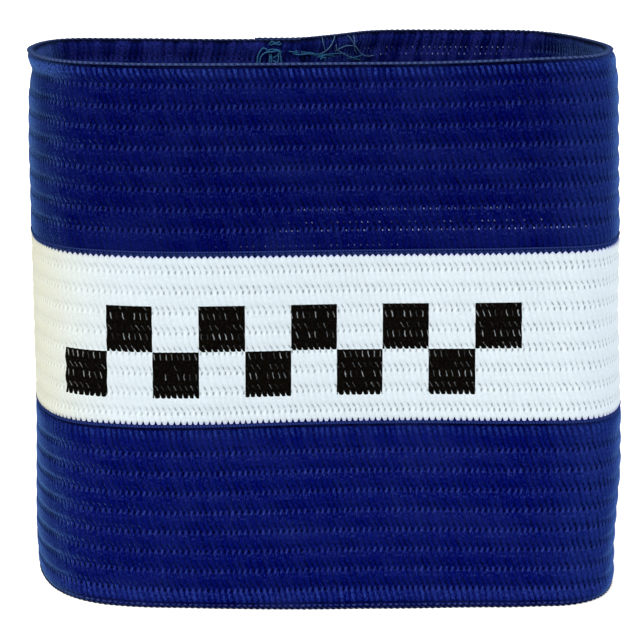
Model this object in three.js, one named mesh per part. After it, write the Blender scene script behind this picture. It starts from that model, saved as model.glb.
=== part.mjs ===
// A standing elastic armband: one ribbed woven strip, wound once into a loop and lapped at the
// back, in a blue, a white and a blue section. Millimetres, +Z up, the front wall faces -Y.
import * as THREE from "three";

// Heights: the whole strip, and the white stripe's two edges
const HEIGHT = 80;
const STRIPE_BOTTOM = 28.4;
const STRIPE_TOP = 52.9;
const SECTION_GAP = 0.3;

// The woven wall: its thickness through a rib, at a stitched groove and at the rolled edges
const RIB_THICKNESS = 1.6;
const GROOVE_THICKNESS = 1.0;
const EDGE_THICKNESS = 1.2;
const EDGE_FLAT = 0.9;
const EDGE_HEIGHT = 0.9;

// The grooves: every section has eight, one rib apart; the lower section's ribs are a little wider
const GROOVES_PER_SECTION = 8;
const FIRST_GROOVE = { lower: 3.25, stripe: 30.25, upper: 56.8 };
const RIB_PITCH = { lower: 3.0, stripe: 2.93, upper: 2.93 };

// How finely the strip is divided along its length
const STATIONS = 41;
const SAMPLES = 600;
const BEND_SHARE = 15;

// The middle of the wall seen from above at half height, from the end that lies inside the lap,
// round the left fold, along the front and round the right fold, to the end that lies behind it
const ROUTE = [
  { place: "inner end", x: -3.0, y: 34.6 },
  { place: "back, left of the lap", x: -14.0, y: 33.8 },
  { place: "back, left", x: -28.0, y: 35.1 },
  { place: "left fold, back", x: -39.2, y: 34.4 },
  { place: "left fold", x: -42.7, y: 24.0 },
  { place: "left fold, front", x: -40.6, y: 10.5 },
  { place: "front, left corner", x: -36.0, y: 3.2 },
  { place: "front, left", x: -28.0, y: 0.1 },
  { place: "front, foremost", x: -18.0, y: -0.7 },
  { place: "front, middle", x: 4.0, y: 1.0 },
  { place: "front, right", x: 30.0, y: 2.5 },
  { place: "front, right corner", x: 39.5, y: 4.8 },
  { place: "right fold", x: 43.3, y: 14.0 },
  { place: "right fold, back", x: 41.5, y: 34.0 },
  { place: "back, right corner", x: 34.6, y: 47.0 },
  { place: "back, right", x: 20.0, y: 49.0 },
  { place: "back, before the slant", x: 9.2, y: 48.2 },
  { place: "slant", x: 2.2, y: 41.2 },
  { place: "lap", x: -3.0, y: 36.6 },
  { place: "outer end", x: -10.0, y: 36.0 },
];

// How the loop's shape changes with height: how far the left and the right fold stand out, and
// how far the front wall lies back towards its left and its right end
const LEVELS = [
  { z: 0, leftOut: 0.2, rightOut: 0.6, leftBack: 1.9, rightBack: -1.8 },
  { z: 6, leftOut: 0.4, rightOut: 0.5, leftBack: 1.3, rightBack: -2.0 },
  { z: 18, leftOut: 0.1, rightOut: 1.1, leftBack: -0.4, rightBack: -2.4 },
  { z: 28, leftOut: -0.1, rightOut: 0.8, leftBack: -1.2, rightBack: -2.2 },
  { z: 42, leftOut: -0.1, rightOut: 0.3, leftBack: -0.8, rightBack: -1.0 },
  { z: 53, leftOut: 0.1, rightOut: 0.3, leftBack: 0.2, rightBack: 0.3 },
  { z: 66, leftOut: 0.1, rightOut: 0.2, leftBack: 0.2, rightBack: 2.0 },
  { z: 74, leftOut: -0.1, rightOut: 0.2, leftBack: 0.2, rightBack: 4.0 },
  { z: 77, leftOut: -0.6, rightOut: 0.0, leftBack: 0.4, rightBack: 5.0 },
  { z: 79, leftOut: 0.0, rightOut: -0.4, leftBack: 0.6, rightBack: 5.5 },
  { z: 80, leftOut: 0.2, rightOut: -0.6, leftBack: 0.8, rightBack: 5.8 },
];
const LEFT_REACH = { from: 4, to: -40 };
const RIGHT_REACH = { from: 10, to: 42 };
const FRONT_REACH = { from: 34, to: 12 };

// The hem is wavy at the front: how far forward the lower edge lies, from left to right
const HEM_WAVE = [
  { x: -38, out: 0.0 },
  { x: -31, out: 0.8 },
  { x: -18, out: 0.0 },
  { x: 4, out: 1.2 },
  { x: 12, out: 1.4 },
  { x: 26, out: 0.6 },
  { x: 34, out: 0.2 },
  { x: 41, out: -0.9 },
];
const HEM_HEIGHT = 3.5;

const BLUE = { color: 0x0d1a5e, roughness: 0.85, metalness: 0 };
const WHITE = { color: 0xe3ebee, roughness: 0.85, metalness: 0 };

function smooth(value, { from, to }) {
  return THREE.MathUtils.smoothstep((value - from) / (to - from), 0, 1);
}

// The LEVELS row at a height, by straight lines between the rows
function levelAt(z) {
  const above = Math.max(1, LEVELS.findIndex((level) => level.z >= z));
  const low = LEVELS[above - 1];
  const high = LEVELS[above];
  const share = (z - low.z) / (high.z - low.z);
  const mix = (name) => THREE.MathUtils.lerp(low[name], high[name], share);
  return {
    leftOut: mix("leftOut"),
    rightOut: mix("rightOut"),
    leftBack: mix("leftBack"),
    rightBack: mix("rightBack"),
  };
}

// How far the hem's wave brings the wall forward at a place and a height
function hemForward(x, z) {
  let out = HEM_WAVE[0].out;
  for (let i = 1; i < HEM_WAVE.length; i += 1) {
    const [start, end] = [HEM_WAVE[i - 1], HEM_WAVE[i]];
    out += (end.out - start.out) * THREE.MathUtils.smoothstep(x, start.x, end.x);
  }
  return out * Math.max(0, 1 - z / HEM_HEIGHT) ** 2;
}

// Places along the route with their outward normals, closer together where the strip bends more
function stations() {
  const curve = new THREE.CatmullRomCurve3(
    ROUTE.map(({ x, y }) => new THREE.Vector3(x, y, 0)), false, "centripetal");
  const points = curve.getSpacedPoints(SAMPLES);
  const tangents = points.map((_, i) => points[Math.min(i + 1, SAMPLES)].clone()
    .sub(points[Math.max(i - 1, 0)]).normalize());
  const effort = [0];
  for (let i = 1; i <= SAMPLES; i += 1) {
    const bend = tangents[i].angleTo(tangents[i - 1]);
    effort.push(effort[i - 1] + points[i].distanceTo(points[i - 1]) + BEND_SHARE * bend);
  }
  const places = [];
  for (let s = 0; s < STATIONS; s += 1) {
    const wanted = effort[SAMPLES] * s / (STATIONS - 1);
    const i = Math.max(0, effort.findIndex((value) => value >= wanted - 1e-9));
    places.push({ x: points[i].x, y: points[i].y, outX: tangents[i].y, outY: -tangents[i].x });
  }
  return places;
}

// A point of the wall: a place on the route, an offset outwards and a height
function wallPoint(place, offset, z) {
  const level = levelAt(z);
  const left = smooth(place.x, LEFT_REACH);
  const right = smooth(place.x, RIGHT_REACH);
  const back = left * level.leftBack + right * level.rightBack - hemForward(place.x, z);
  return new THREE.Vector3(
    place.x + place.outX * offset - left * level.leftOut + right * level.rightOut,
    place.y + place.outY * offset + smooth(place.y, FRONT_REACH) * back,
    z);
}

// The wall's rows from its lower to its upper edge: a height and the thickness there
function rows({ bottom, top, firstGroove, pitch, rimBelow, rimAbove }) {
  const found = [];
  if (rimBelow) {
    found.push({ z: bottom, thickness: EDGE_FLAT });
    found.push({ z: bottom + EDGE_HEIGHT / 2, thickness: EDGE_THICKNESS });
    found.push({ z: bottom + EDGE_HEIGHT, thickness: GROOVE_THICKNESS });
  } else {
    found.push({ z: bottom, thickness: GROOVE_THICKNESS });
  }
  for (let g = 0; g < GROOVES_PER_SECTION; g += 1) {
    const groove = firstGroove + g * pitch;
    const below = found[found.length - 1].z;
    found.push({ z: (groove + below) / 2, thickness: RIB_THICKNESS });
    found.push({ z: groove, thickness: GROOVE_THICKNESS });
  }
  const last = found[found.length - 1].z;
  const edge = rimAbove ? top - EDGE_HEIGHT : top;
  found.push({ z: (last + edge) / 2, thickness: RIB_THICKNESS });
  found.push({ z: edge, thickness: GROOVE_THICKNESS });
  if (rimAbove) {
    found.push({ z: top - EDGE_HEIGHT / 2, thickness: EDGE_THICKNESS });
    found.push({ z: top, thickness: EDGE_FLAT });
  }
  return found;
}

// One section of the strip as a closed wall: outer face, inner face, two edges, two cut ends
function section(name, finish, layout) {
  const places = stations();
  const levels = rows(layout);
  const positions = [];
  for (const side of [0.5, -0.5]) {
    for (const place of places) {
      for (const { z, thickness } of levels) {
        positions.push(...wallPoint(place, side * thickness, z).toArray());
      }
    }
  }
  const faces = [];
  const at = (inner, s, r) => inner * places.length * levels.length + s * levels.length + r;
  const quad = (a, b, c, d) => faces.push(a, b, c, a, c, d);
  const lastRow = levels.length - 1;
  const lastPlace = places.length - 1;
  for (let s = 0; s < lastPlace; s += 1) {
    for (let r = 0; r < lastRow; r += 1) {
      quad(at(0, s, r), at(0, s + 1, r), at(0, s + 1, r + 1), at(0, s, r + 1));
      quad(at(1, s, r), at(1, s, r + 1), at(1, s + 1, r + 1), at(1, s + 1, r));
    }
    quad(at(0, s, 0), at(1, s, 0), at(1, s + 1, 0), at(0, s + 1, 0));
    quad(at(0, s, lastRow), at(0, s + 1, lastRow), at(1, s + 1, lastRow), at(1, s, lastRow));
  }
  for (let r = 0; r < lastRow; r += 1) {
    quad(at(0, 0, r), at(0, 0, r + 1), at(1, 0, r + 1), at(1, 0, r));
    quad(at(0, lastPlace, r), at(1, lastPlace, r), at(1, lastPlace, r + 1), at(0, lastPlace, r + 1));
  }
  const geometry = new THREE.BufferGeometry();
  geometry.setAttribute("position", new THREE.Float32BufferAttribute(positions, 3));
  geometry.setIndex(faces);
  geometry.computeVertexNormals();
  const mesh = new THREE.Mesh(geometry, new THREE.MeshStandardMaterial(finish));
  mesh.name = name;
  return mesh;
}

const armband = new THREE.Group();
armband.add(section("lower_band", BLUE, {
  bottom: 0,
  top: STRIPE_BOTTOM - SECTION_GAP / 2,
  firstGroove: FIRST_GROOVE.lower,
  pitch: RIB_PITCH.lower,
  rimBelow: true,
  rimAbove: false,
}));
armband.add(section("centre_stripe", WHITE, {
  bottom: STRIPE_BOTTOM + SECTION_GAP / 2,
  top: STRIPE_TOP - SECTION_GAP / 2,
  firstGroove: FIRST_GROOVE.stripe,
  pitch: RIB_PITCH.stripe,
  rimBelow: false,
  rimAbove: false,
}));
armband.add(section("upper_band", BLUE, {
  bottom: STRIPE_TOP + SECTION_GAP / 2,
  top: HEIGHT,
  firstGroove: FIRST_GROOVE.upper,
  pitch: RIB_PITCH.upper,
  rimBelow: false,
  rimAbove: true,
}));

// The origin is the middle of the box on the ground
const middle = new THREE.Box3().setFromObject(armband).getCenter(new THREE.Vector3());
armband.position.set(-middle.x, -middle.y, 0);

export default armband;
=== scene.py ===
import math

import bpy
import numpy as np
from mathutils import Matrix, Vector


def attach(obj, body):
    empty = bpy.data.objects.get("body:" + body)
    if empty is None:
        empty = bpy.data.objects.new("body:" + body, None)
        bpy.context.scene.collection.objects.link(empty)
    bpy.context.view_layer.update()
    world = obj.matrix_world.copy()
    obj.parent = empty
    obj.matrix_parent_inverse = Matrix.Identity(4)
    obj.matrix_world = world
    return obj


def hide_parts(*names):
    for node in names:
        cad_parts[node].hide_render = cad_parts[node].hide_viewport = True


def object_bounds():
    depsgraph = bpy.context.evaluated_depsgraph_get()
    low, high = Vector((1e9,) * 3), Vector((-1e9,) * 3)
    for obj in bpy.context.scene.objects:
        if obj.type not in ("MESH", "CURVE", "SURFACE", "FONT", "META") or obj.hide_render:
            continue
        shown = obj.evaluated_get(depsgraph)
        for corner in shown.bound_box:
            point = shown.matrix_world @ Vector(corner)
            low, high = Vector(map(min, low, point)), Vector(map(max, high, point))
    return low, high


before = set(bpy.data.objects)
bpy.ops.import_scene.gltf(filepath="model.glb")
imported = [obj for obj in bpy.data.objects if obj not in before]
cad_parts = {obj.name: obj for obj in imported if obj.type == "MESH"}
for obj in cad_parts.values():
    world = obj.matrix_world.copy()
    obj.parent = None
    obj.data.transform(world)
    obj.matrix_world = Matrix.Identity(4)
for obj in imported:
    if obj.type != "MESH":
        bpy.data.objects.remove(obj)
cad_low, cad_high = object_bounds()

MM = 0.001

# Heights on the strip: the stripe's two edges, how high their teeth are, and the grooves
HEIGHT = (cad_high - cad_low).z / MM
STRIPE_BOTTOM = 28.33
STRIPE_TOP = 52.36
TOP_TOOTH = 0.42
BOTTOM_SPIKE = 0.55
TOOTH_POWER = 0.75
RIB_PITCH = 2.93
GROOVES = 8
FIRST_GROOVE = {"lower": 3.25, "stripe": 30.25, "upper": 56.8}
SECTION_PITCH = {"lower": 3.0, "stripe": RIB_PITCH, "upper": RIB_PITCH}

# The weave: threads run up and down over the ribs, one every WEFT along the strip; the columns of
# points for each, and how far from the strip's cut ends their relief fades out
WEFT = 0.857
COLUMNS = 4
END_FADE = 0.8

# The threads' slow waves: how far sideways, and how long, in threads along and in millimetres up
THREAD_WAVES = ((0.10, 3.6, 1.4), (0.07, 1.9, -0.9))

# The middle of the wall seen from above, from the end that lies inside the lap, round the left
# fold, along the front and round the right fold, to the end that lies behind it
ROUTE = [
    (-3.0, 34.6), (-14.0, 33.8), (-28.0, 35.1), (-39.2, 34.4), (-42.7, 24.0), (-40.6, 10.5),
    (-36.0, 3.2), (-28.0, 0.1), (-18.0, -0.7), (4.0, 1.0), (30.0, 2.5), (39.5, 4.8),
    (43.3, 14.0), (41.5, 34.0), (34.6, 47.0), (20.0, 49.0), (9.2, 48.2), (2.2, 41.2),
    (-3.0, 36.6), (-10.0, 36.0),
]

# The curve's steps from one of these places to the next, and half the wall's thickness on a rib
ROUTE_STEPS = 200
OUTER_FACE = 0.8

# How the loop's shape changes with height: how far each fold stands out, and how far the front
# wall lies back towards its left and its right end
LEVELS = {
    "z": (0, 6, 18, 28, 42, 53, 66, 74, 77, 79, 80),
    "left out": (0.2, 0.4, 0.1, -0.1, -0.1, 0.1, 0.1, -0.1, -0.6, 0.0, 0.2),
    "right out": (0.6, 0.5, 1.1, 0.8, 0.3, 0.3, 0.2, 0.2, 0.0, -0.4, -0.6),
    "left back": (1.9, 1.3, -0.4, -1.2, -0.8, 0.2, 0.2, 0.2, 0.4, 0.6, 0.8),
    "right back": (-1.8, -2.0, -2.4, -2.2, -1.0, 0.3, 2.0, 4.0, 5.0, 5.5, 5.8),
}
LEFT_REACH = (4, -40)
RIGHT_REACH = (10, 42)
FRONT_REACH = (34, 12)

# The hem is wavy at the front: at places along x, how far forward the lower edge lies
HEM_WAVE = ((-38, 0.0), (-31, 0.8), (-18, 0.0), (4, 1.2), (12, 1.4), (26, 0.6), (34, 0.2),
            (41, -0.9))
HEM_HEIGHT = 3.5

# Rows of the outer and the inner face about a groove: the height above it, half the wall's
# thickness there, how far a thread stands proud, and how deep the gap between two threads is
OUTER_ROWS = ((-0.42, 0.59, 0.040, 0.06), (-0.02, 0.52, 0.040, 0.03), (0.40, 0.58, 0.040, 0.06),
              (0.85, 0.72, 0.040, 0.03), (RIB_PITCH / 2, 0.80, 0.035, 0.0))
INNER_ROWS = ((-0.50, 0.62, 0.050, 0.09), (0.42, 0.60, 0.050, 0.10),
              (RIB_PITCH / 2, 0.80, 0.045, 0.0))

# How single threads differ: in their gaps' depth, in relief, and sideways, in threads
GAP_SCATTER = (0.6, 1.4)
RELIEF_SCATTER = (0.75, 1.2)
SIDEWAYS = (-0.07, 0.07)

# At the two folds the cloth is stretched over the bend: where along x its threads' relief fades,
# where its ribs flatten, and by what share they flatten on the left and on the right
LEFT_CALM = (-31.0, -38.5)
RIGHT_CALM = (33.0, 41.0)
CALM_SHARE = 0.85
LEFT_FLAT = (-35.0, -41.5)
RIGHT_FLAT = (37.0, 43.0)
LEFT_PRESSED = 0.75
RIGHT_PRESSED = 0.4
PRESSED_HALF = 0.60

# How far a thread leans along the strip for each millimetre that it goes down, in threads: over
# the slits above a groove, over the rib's shoulder above them, and elsewhere
SLIT_LEAN = 0.62
SHOULDER_LEAN = 0.20
PLAIN_LEAN = 0.25
SLIT_SPAN = (0.05, 0.85)

# The openings above and below a groove, shallow pits darkened with painted shade, and the strokes
# of painted highlight between the lower ones: height above it, half and soft edge; and the lower
# ones' backward lean, in threads for each millimetre
SLITS = (0.40, 0.14, 0.22)
DOTS = (-0.34, 0.15, 0.16)
STROKES = (-0.40, 0.16, 0.34)
DOT_LEAN = 0.3
STROKE_LEAN = 0.62

# The cloth's fine patterns: spots for each thread and for each rib, finer layers, and seed; and how
# far a gap's line wanders, in threads
GRAINS = {
    "wander": (1.7, 4.5, 1.0, 21.0), "fibre": (3.1, 7.0, 3.0, 1.0), "fuzz": (5.6, 8.0, 2.0, 31.0),
    "slow": (0.06, 0.5, 2.0, 5.0), "inner_light_patches": (0.55, 0.35, 2.0, 9.0), "fine": (9.0, 12.0, 2.0, 2.0),
}
WANDER = 0.45

# The seeds of what differs from thread to thread and from rib to rib, and a row beyond the ribs
SEEDS = {"opening": 3.0, "line": 5.0, "thread": 7.0, "stroke": 11.0, "pinhole": 13.0, "edge": 17.0,
         "streak": 17.0, "nick": 19.0}
NO_GROOVE = 50.0

# A gap's line of painted shade shows less where the rib is thick: its level there, and where it is
# full
LINE_LEVEL = 0.78
LINE_SHOULDER = (0.5, 0.3, 0.9)
BEYOND_RIBS = (1.5, 1.9)

# Painted light seen through pinholes shows in short rows, one between two threads: the row's
# height, where it starts and ends along the strip (below 0 on the inner face), and how bright it is
PINHOLE_LIGHT_ROWS = (
    (59.27, 105, 133, 0.7),
    (57.44, 103, 139, 0.6),
    (56.25, 101, 144, 0.95),
    (54.13, 93, 118, 0.30),
    (77.35, -220.5, -197, 0.85),
    (76.30, -220.0, -199, 1.0),
)

# Where the outer face lies in a fold, along the strip, and how much calmer its grain is there
LEFT_FOLD = (38.0, 64.0)
RIGHT_FOLD = (149.0, 170.0)
FOLD_SOFT = 6.0
FOLD_CALM = 0.6

# Painted light in the folds: the blue is paler in the right fold as painted sheen, and the white
# warmer in the left fold as painted warm light: the middle, half and soft edge along the strip,
# the share and the colour
BLUE_FOLD_PAINTED_SHEEN = ((160.0, 6.0, 17.0), 0.80, (0.012, 0.030, 0.180))
WHITE_FOLD_PAINTED_WARM_LIGHT = ((50.0, 12.0, 18.0), 0.95, (0.565, 0.580, 0.530))

# The white's slits and dots are fainter near the left fold: middle, half and soft edge, and share
FAINT_OPENINGS = (58.0, 12.0, 22.0)
FAINT_SHARE = 0.55

# In the folds a groove shows as a soft dark band of painted shade, also sunk in the bump: where
# about the groove, how dark, how deep against the weave, and the share of it that shows in the
# right fold
GROOVE_BAND = (0.0, 0.15, 0.65)
GROOVE_SHADE = 0.75
GROOVE_DEPTH = 3.5
RIGHT_GROOVES = 0.40

# Colours: painted light on the inner face, from the arm hole, painted light seen through pinholes,
# painted shade on one side of a thread, and the ink, new and worn
INNER_LIGHT_BLUE = (0.016, 0.023, 0.190)
PINHOLE_LIGHT_BLUE = (0.33, 0.39, 0.80)
SHADED_BLUE = (0.0015, 0.002, 0.018)
INK = (0.0020, 0.0016, 0.0012)
WORN_INK = (0.010, 0.008, 0.0075)

# Painted light under the rim in the left fold, broken up by the fuzz: middle, half and soft edge,
# along and up, the share and the colour
RIM_PAINTED_LIGHT = ((62.0, 4.0, 8.0), (78.6, 0.5, 1.0), 0.8, (0.035, 0.085, 0.36))

# The printed field on the stripe: its middle seen from the front, and its size
PRINT_MIDDLE_X = -4.2
PRINT_MIDDLE_Z = 38.9
PRINT_LENGTH = 66.0
PRINT_HEIGHT = 13.4
PRINT_COLUMNS = 10
PRINT_ROWS = 2

# The ink's pale streaks on the ribs and nicks over the slits: where about the groove, where in the
# gap, and how much ink they take; and its notched edges: how high, and where in the gap
STREAKS = (-0.80, 0.36, 0.14)
NICKS = (0.50, 0.25, 0.2)
INK_GAP = (0.78, 0.98)
NICK_SHARE = 0.6
INK_BREAK = 0.50
NOTCHES = ((0.30, 0.72, 0.92), (0.08, 0.2, 0.8))


def smooth(value, start, end):
    """0 at start and before it, 1 at end and past it, with an even turn at both."""
    share = np.clip((value - start) / (end - start), 0, 1)
    return share * share * (3 - 2 * share)


def route_points():
    """The route as one smooth curve: centripetal Catmull-Rom, with both ends drawn on."""
    points = np.array(ROUTE, dtype=float)
    points = np.vstack([2 * points[0] - points[1], points, 2 * points[-1] - points[-2]])
    share = np.linspace(0, 1, ROUTE_STEPS, endpoint=False)[:, None]
    found = []
    for i in range(1, len(points) - 2):
        before, start, end, after = points[i - 1:i + 3]
        gaps = [np.linalg.norm(b - a) ** 0.5 for a, b in
                ((before, start), (start, end), (end, after))]
        leave = ((start - before) / gaps[0] - (end - before) / (gaps[0] + gaps[1])
                 + (end - start) / gaps[1]) * gaps[1]
        arrive = ((end - start) / gaps[1] - (after - start) / (gaps[1] + gaps[2])
                  + (after - end) / gaps[2]) * gaps[1]
        found.append(start + leave * share + (3 * (end - start) - 2 * leave - arrive) * share ** 2
                     + (2 * (start - end) + leave + arrive) * share ** 3)
    found.append(points[-2:-1])
    return np.vstack(found)


PATH = route_points()
PATH_STEPS = np.linalg.norm(np.diff(PATH, axis=0), axis=1)
PATH_ARC = np.concatenate([[0], np.cumsum(PATH_STEPS)])
LENGTH = PATH_ARC[-1]
TANGENT = np.gradient(PATH, PATH_ARC, axis=0)
TANGENT /= np.linalg.norm(TANGENT, axis=1, keepdims=True)


def hem_forward(x, z):
    """How far the hem's wave brings the wall forward at a place and a height."""
    out = HEM_WAVE[0][1] + np.zeros_like(x)
    for (start, low), (end, high) in zip(HEM_WAVE, HEM_WAVE[1:]):
        out += (high - low) * smooth(x, start, end)
    return out * np.clip(1 - z / HEM_HEIGHT, 0, 1) ** 2


def wall_mm(arc, offset, z):
    """Points of the wall, in millimetres: along the strip, outwards from its middle, and up."""
    arc, offset, z = np.broadcast_arrays(*(np.asarray(v, dtype=float) for v in (arc, offset, z)))
    x = np.interp(arc, PATH_ARC, PATH[:, 0])
    y = np.interp(arc, PATH_ARC, PATH[:, 1])
    out_x = np.interp(arc, PATH_ARC, TANGENT[:, 1])
    out_y = -np.interp(arc, PATH_ARC, TANGENT[:, 0])
    level = {name: np.interp(z, LEVELS["z"], column) for name, column in LEVELS.items()}
    left = smooth(x, *LEFT_REACH)
    right = smooth(x, *RIGHT_REACH)
    back = left * level["left back"] + right * level["right back"] - hem_forward(x, z)
    return np.stack([
        x + out_x * offset - left * level["left out"] + right * level["right out"],
        y + out_y * offset + smooth(y, *FRONT_REACH) * back,
        z], axis=-1)


# The outline's middle, which is the origin on the ground
OUTLINE = wall_mm(np.linspace(0, LENGTH, 800)[:, None], OUTER_FACE,
                  np.linspace(0, HEIGHT, 60)[None, :])
MIDDLE = (OUTLINE.reshape(-1, 3).max(axis=0) + OUTLINE.reshape(-1, 3).min(axis=0)) / 2 * (1, 1, 0)


def wall(arc, offset, z):
    """Points of the wall, in millimetres from the origin."""
    return wall_mm(arc, offset, z) - MIDDLE


def arc_at_front(x):
    """Where along the strip the front wall passes a place, seen from the front."""
    front = PATH[:, 1] < FRONT_REACH[1]
    return float(np.interp(x, PATH[front, 0], PATH_ARC[front]))


# The threads' lean, added up over the whole height in steps of 0.01 mm, in threads
LEAN_Z = np.linspace(0, HEIGHT, 8001)


def lean_table():
    """The lean at every height of LEAN_Z."""
    slope = np.full(LEAN_Z.shape, PLAIN_LEAN)
    for section, first in FIRST_GROOVE.items():
        for g in range(GROOVES):
            above = LEAN_Z - first - g * SECTION_PITCH[section]
            slope[(above > SLIT_SPAN[0]) & (above < SLIT_SPAN[1])] = SLIT_LEAN
            slope[(above >= SLIT_SPAN[1]) & (above < RIB_PITCH / 2)] = SHOULDER_LEAN
    return -np.cumsum(slope) * (LEAN_Z[1] - LEAN_Z[0])


LEAN = lean_table()
random = np.random.default_rng(8026)
THREADS = int(LENGTH / WEFT) + 60
UNEVEN = random.uniform(*SIDEWAYS, THREADS)
PROUD = random.uniform(*RELIEF_SCATTER, THREADS)
# Six are drawn and four are used, so that the later draws stay as they are
SWELL_PHASES = random.uniform(0, 2 * math.pi, 6)


def folds(arc, left, right):
    """How far a place along the strip lies in the left and in the right fold, 0 to 1 each."""
    x = np.interp(arc, PATH_ARC, PATH[:, 0])
    return smooth(x, *left), smooth(x, *right)


def swell(arc, z):
    """Slow unevenness of the cloth, a tenth of a millimetre at most."""
    a, b, c, d = SWELL_PHASES[:4]
    return (0.045 * np.sin(arc / 7.1 + z / 9.3 + a) + 0.03 * np.sin(arc / 3.7 - z / 5.1 + b)
            + 0.02 * np.sin(arc / 12.9 + c) * np.sin(z / 4.3 + d))


def add_object(name, data):
    """A new object in the scene."""
    found = bpy.data.objects.new(name, data)
    bpy.context.scene.collection.objects.link(found)
    return found


def new_piece(name, points, faces, material, maps):
    """A mesh object riding on the root; points in millimetres, maps as one pair a corner."""
    mesh = bpy.data.meshes.new(name)
    mesh.from_pydata((np.asarray(points) * MM).tolist(), [], faces)
    for map_name, values in maps.items():
        layer = mesh.uv_layers.new(name=map_name)
        layer.data.foreach_set("uv", np.asarray(values, dtype=np.float32).ravel())
    mesh.polygons.foreach_set("use_smooth", [True] * len(mesh.polygons))
    mesh.materials.append(material)
    mesh.update()
    piece = add_object(name, mesh)
    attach(piece, "root")
    return piece


def corners(grid):
    """The four corners of each cell of a grid whose last row closes onto its first."""
    above = np.roll(grid, -1, axis=0)
    return np.stack([grid[:, :-1], grid[:, 1:], above[:, 1:], above[:, :-1]], 2)


def face_rows(section, rows, below, above):
    """A face's rows from bottom to top: below the grooves, about each of them, above them."""
    found = list(below)
    for g in range(GROOVES):
        groove = FIRST_GROOVE[section] + g * SECTION_PITCH[section]
        found += [(groove + up, half, proud, gap) for up, half, proud, gap in rows]
    return np.array(found + list(above))


def tooth(phase, kind):
    """How far an edge row rises at a place between two threads: 0 to 1."""
    if kind == "teeth":
        return np.clip(0.5 + 0.5 * np.cos(2 * math.pi * phase), 0, 1) ** TOOTH_POWER
    return np.clip(1 - 4 * np.abs(phase - np.floor(phase) - 0.5), 0, 1)


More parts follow.
